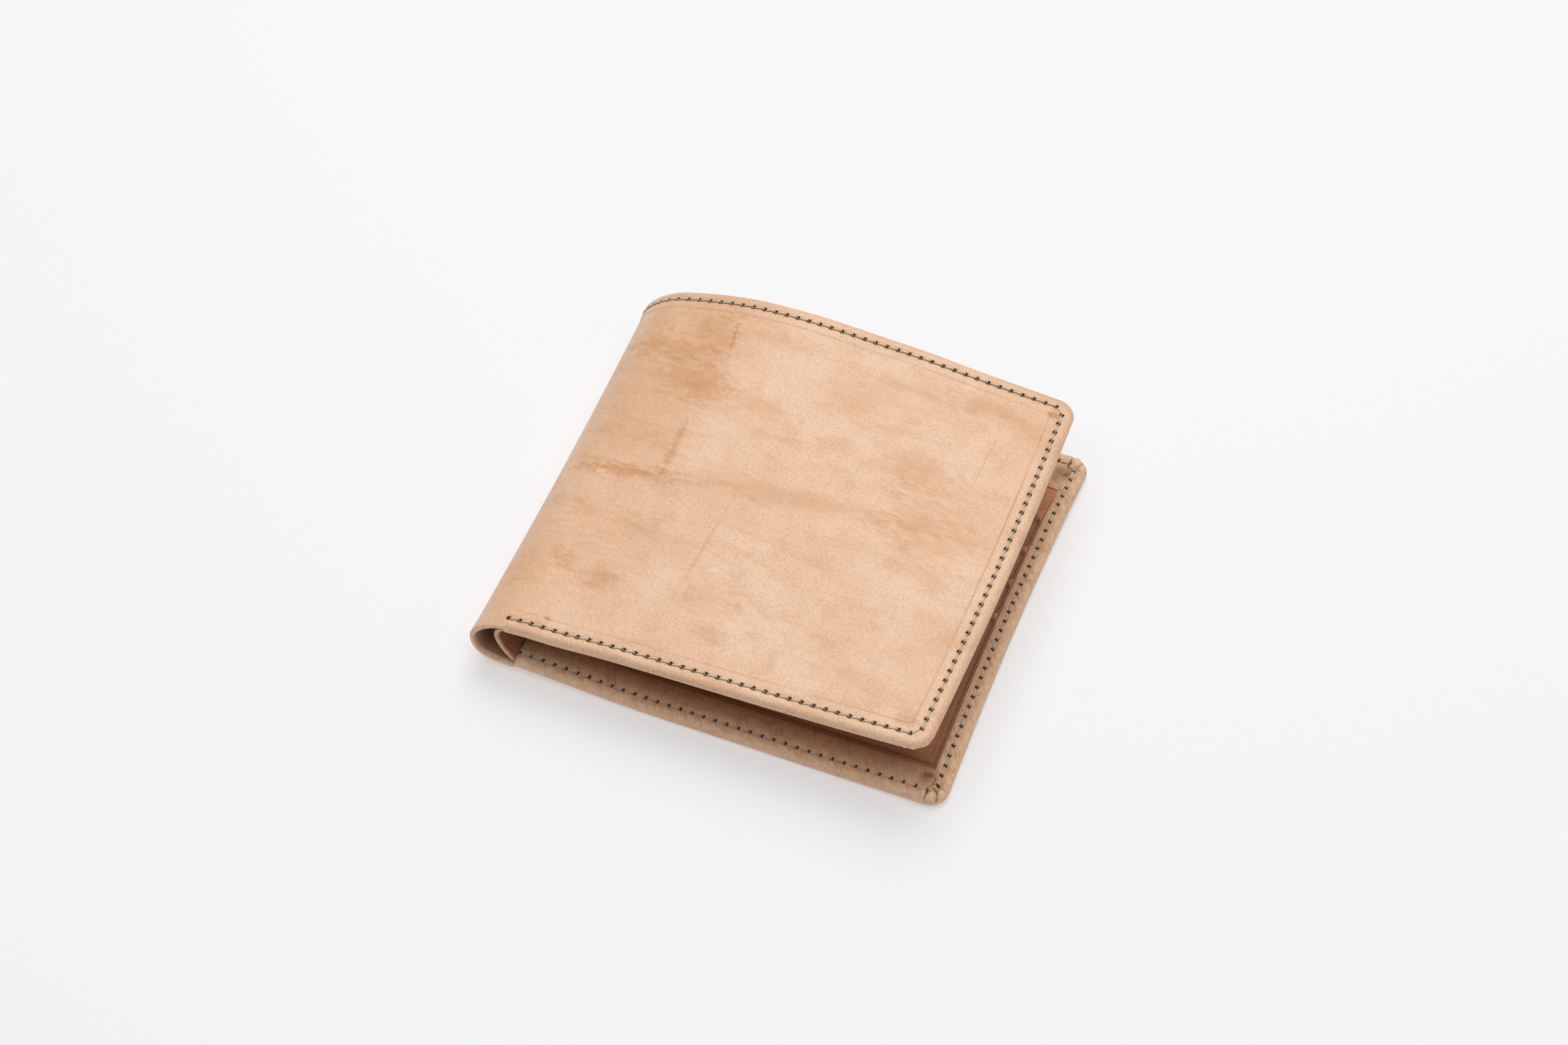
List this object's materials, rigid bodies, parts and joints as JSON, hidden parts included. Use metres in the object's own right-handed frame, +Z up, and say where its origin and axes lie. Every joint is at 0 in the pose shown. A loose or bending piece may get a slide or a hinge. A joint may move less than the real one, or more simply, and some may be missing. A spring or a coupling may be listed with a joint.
{
  "type": "bifold wallet",
  "caption": "Natural leather bifold wallet with turned, stitched edges, a full-length banknote pocket and stepped card slots, lying closed and sprung slightly open.",
  "frame": {"origin": "on the table, under the middle of the closed wallet's box", "axes": "+X from the fold to the free edges, +Y from the sewn bottom to the open top, +Z up from the table"},
  "size_m": [0.104, 0.0952, 0.0239],
  "materials": {
    "outer_leather": "natural vegetable-tanned grain, semi-matte, a little polished on the fold",
    "inner_leather": "natural grain, matte, with bare cut edges",
    "lining": "fine woven, matte",
    "thread": "waxed, low sheen"
  },
  "bodies": {
    "back_half": {"banknote_divider_back": "inner_leather", "card_backing_back": "lining", "card_slot_1_back": "inner_leather", "card_slot_2_back": "inner_leather", "card_slot_3_back": "inner_leather", "card_slot_4_back": "inner_leather", "edge_seam_thread_back": "thread", "lining_back": "lining", "outer_leather_back": "outer_leather", "slot_seam_thread_back": "thread"},
    "spine_lower": {"banknote_divider_spine_lower": "inner_leather", "lining_spine_lower": "lining", "outer_leather_spine_lower": "outer_leather", "seam_thread_spine_lower": "thread"},
    "spine_middle": {"banknote_divider_spine_middle": "inner_leather", "lining_spine_middle": "lining", "outer_leather_spine_middle": "outer_leather", "seam_thread_spine_middle": "thread"},
    "spine_upper": {"banknote_divider_spine_upper": "inner_leather", "lining_spine_upper": "lining", "outer_leather_spine_upper": "outer_leather", "seam_thread_spine_upper": "thread"},
    "front_half": {"banknote_divider_front": "inner_leather", "card_backing_front": "lining", "card_slot_1_front": "inner_leather", "card_slot_2_front": "inner_leather", "card_slot_3_front": "inner_leather", "card_slot_4_front": "inner_leather", "edge_seam_thread_front": "thread", "lining_front": "lining", "outer_leather_front": "outer_leather", "slot_seam_thread_front": "thread"}
  },
  "joints": [
    {"name": "fold_lower", "type": "hinge", "parent": "back_half", "child": "spine_lower", "pos_m": [-0.04667, 0, 0.00044], "axis": [0, -1, 0], "range_deg": [-1.3, 40.5]},
    {"name": "fold_lower_middle", "type": "hinge", "parent": "spine_lower", "child": "spine_middle", "pos_m": [-0.05143, 0, 0.00521], "axis": [0, -1, 0], "range_deg": [-1.3, 40.5]},
    {"name": "fold_upper_middle", "type": "hinge", "parent": "spine_middle", "child": "spine_upper", "pos_m": [-0.05143, 0, 0.01194], "axis": [0, -1, 0], "range_deg": [-1.3, 40.5]},
    {"name": "fold_upper", "type": "hinge", "parent": "spine_upper", "child": "front_half", "pos_m": [-0.04667, 0, 0.01671], "axis": [0, -1, 0], "range_deg": [-1.3, 40.5]}
  ],
  "couplings": [
    {"joint": "fold_lower", "follows": "fold_upper", "ratio": 1},
    {"joint": "fold_lower_middle", "follows": "fold_upper", "ratio": 1},
    {"joint": "fold_upper_middle", "follows": "fold_upper", "ratio": 1}
  ]
}
